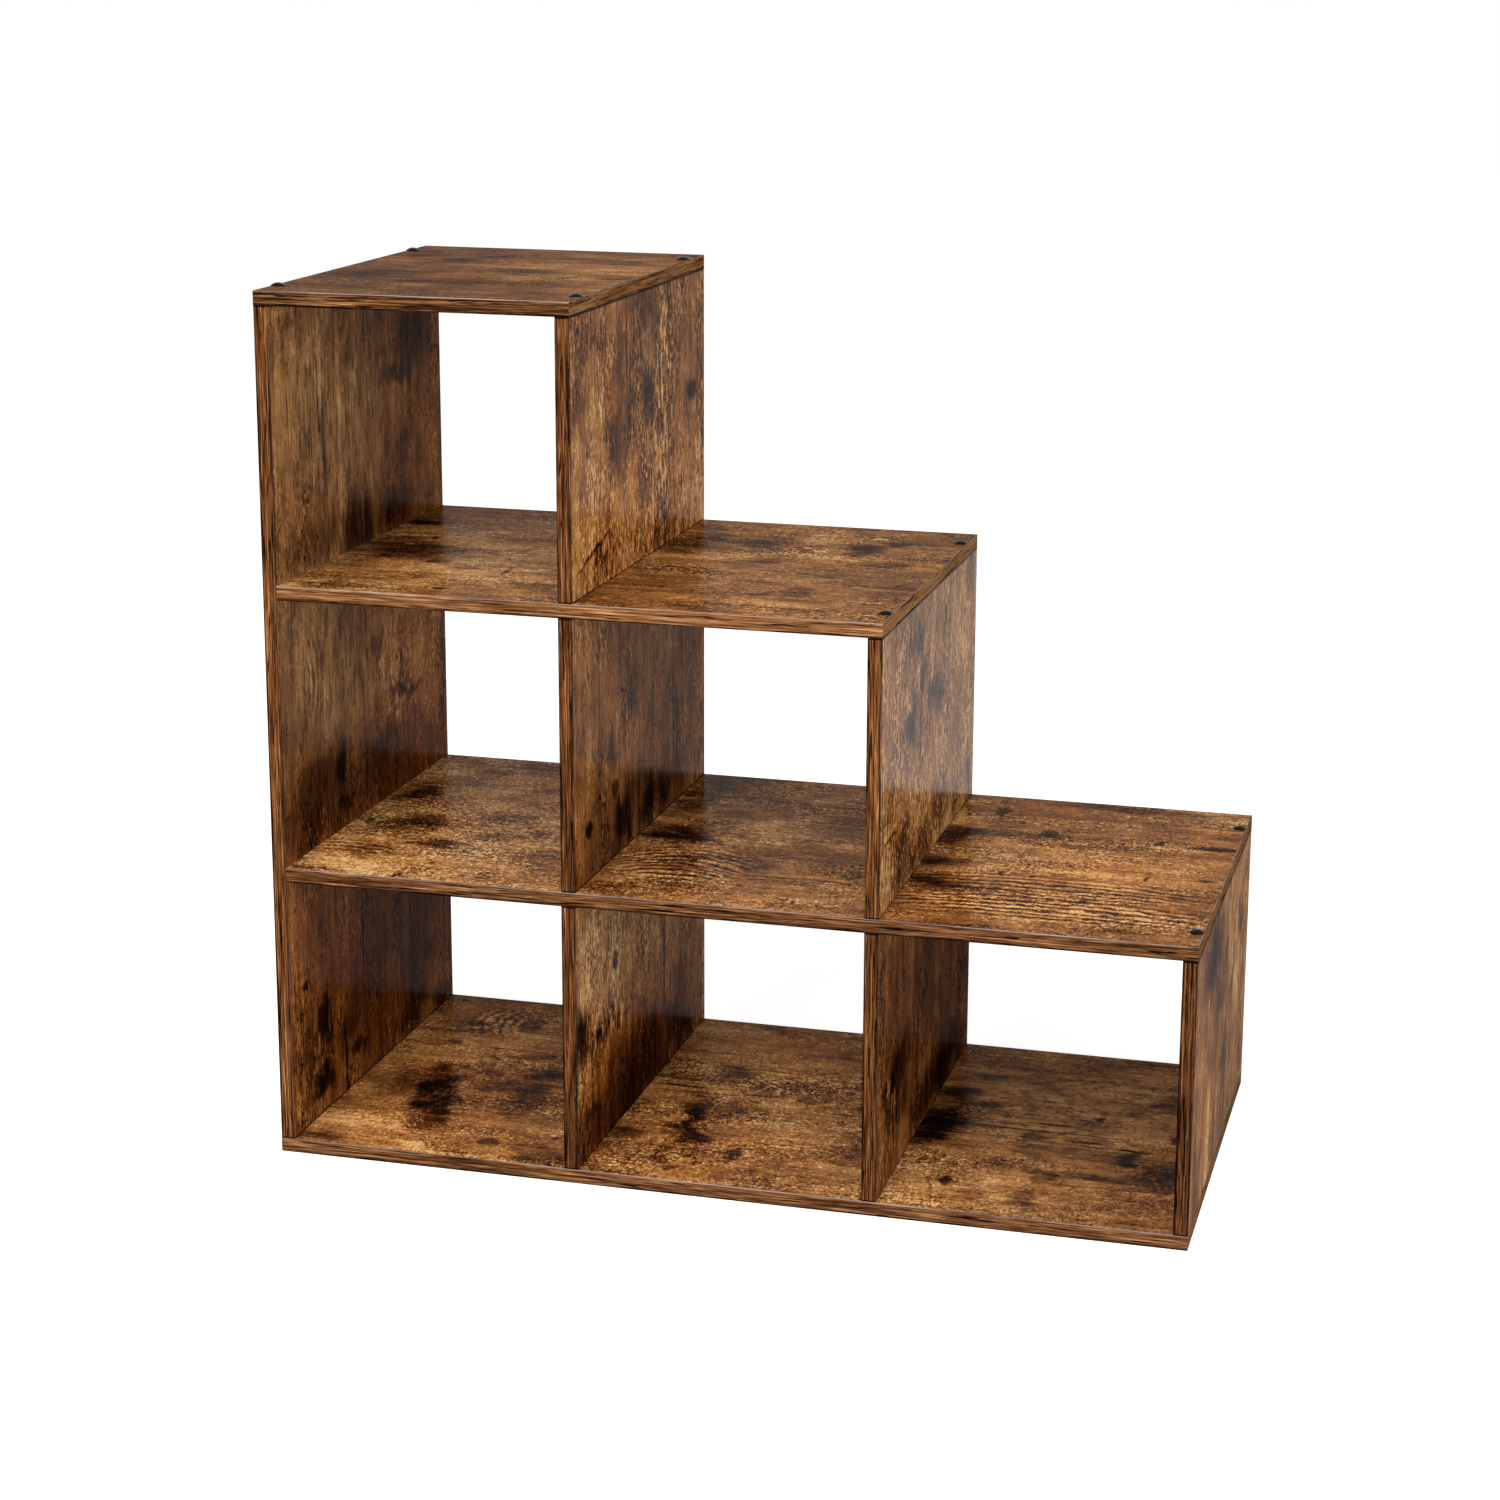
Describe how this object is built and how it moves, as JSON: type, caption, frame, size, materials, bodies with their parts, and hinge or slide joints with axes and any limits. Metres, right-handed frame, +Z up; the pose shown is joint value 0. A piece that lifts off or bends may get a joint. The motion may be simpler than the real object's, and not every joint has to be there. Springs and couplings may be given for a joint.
{
  "type": "cube bookshelf",
  "caption": "Stepped open-backed cube bookshelf whose columns of cells climb like a stair from right to left, built of wood-print boards with edge bands and capped screws.",
  "frame": {"origin": "under the middle of the bottom board's footprint, on the floor", "axes": "+X to the right, towards the lowest step; +Y to the back; +Z up"},
  "size_m": [0.8626, 0.42, 0.8192],
  "materials": {
    "laminate": "satin wood-print laminate",
    "edge_band": "satin wood-print edge band",
    "cap": "glossy black",
    "screw": "zinc plated",
    "dowel": "bare hardwood"
  },
  "bodies": {
    "root": {"bottom_board": "laminate", "lower_shelf": "laminate", "upper_shelf": "laminate", "top_board": "laminate", "left_side": "laminate", "lower_left_divider": "laminate", "lower_right_divider": "laminate", "lower_right_side": "laminate", "middle_divider": "laminate", "middle_right_side": "laminate", "upper_right_side": "laminate", "bottom_board_edge_bands": "edge_band", "lower_shelf_edge_bands": "edge_band", "upper_shelf_edge_bands": "edge_band", "top_board_edge_bands": "edge_band", "left_side_edge_bands": "edge_band", "lower_left_divider_edge_bands": "edge_band", "lower_right_divider_edge_bands": "edge_band", "lower_right_side_edge_bands": "edge_band", "middle_divider_edge_bands": "edge_band", "middle_right_side_edge_bands": "edge_band", "upper_right_side_edge_bands": "edge_band", "top_board_screws": "screw", "upper_shelf_screws": "screw", "lower_shelf_screws": "screw", "left_side_screws": "screw", "crossing_screws": "screw", "bottom_board_screws": "screw", "top_board_caps": "cap", "upper_shelf_caps": "cap", "lower_shelf_caps": "cap", "left_side_caps": "cap", "top_board_dowels": "dowel", "upper_shelf_dowels": "dowel", "lower_shelf_dowels": "dowel", "left_side_dowels": "dowel", "crossing_dowels": "dowel", "bottom_board_dowels": "dowel"}
  },
  "joints": []
}
